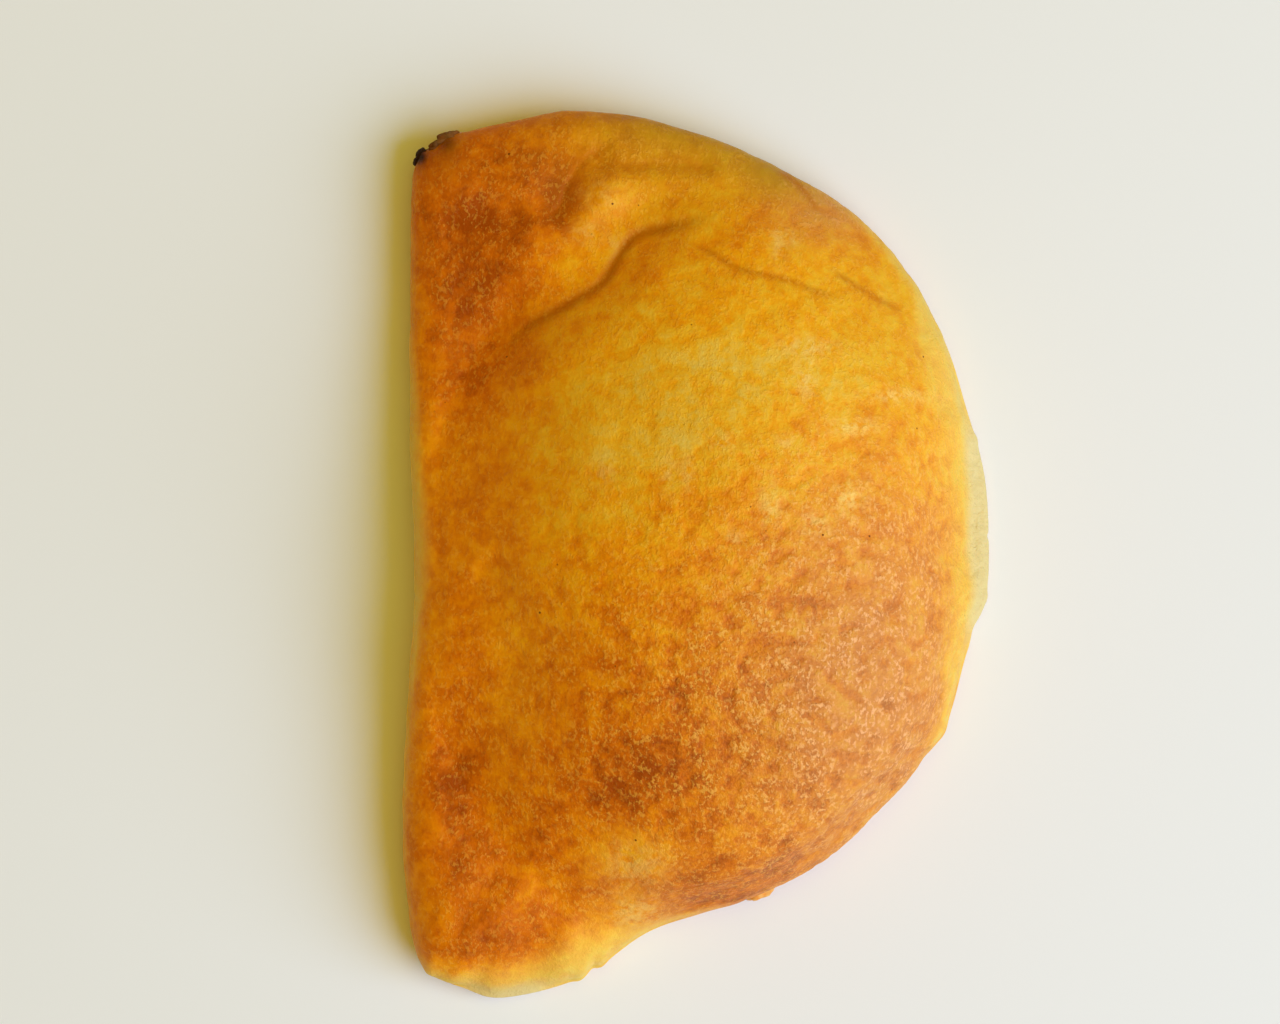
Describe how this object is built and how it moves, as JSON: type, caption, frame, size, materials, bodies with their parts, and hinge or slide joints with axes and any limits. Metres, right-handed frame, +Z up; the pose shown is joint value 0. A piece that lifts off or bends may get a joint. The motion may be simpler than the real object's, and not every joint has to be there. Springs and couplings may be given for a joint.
{
  "type": "empanada",
  "caption": "Whole baked half-moon empanada: golden-brown crust folded over a filling, straight thick fold on one side, curved seam with a bare dough lip on the other.",
  "frame": {"origin": "under the middle of the bounding box, on the flat base that the empanada lies on", "axes": "+X from the straight fold to the curved seam, +Y along the fold towards the corner with the burnt tip, +Z up"},
  "size_m": [0.0926, 0.14, 0.034],
  "materials": {
    "crust": "baked golden-brown dough, satin, finely crinkled"
  },
  "bodies": {
    "root": {"empanada": "crust"}
  },
  "joints": []
}
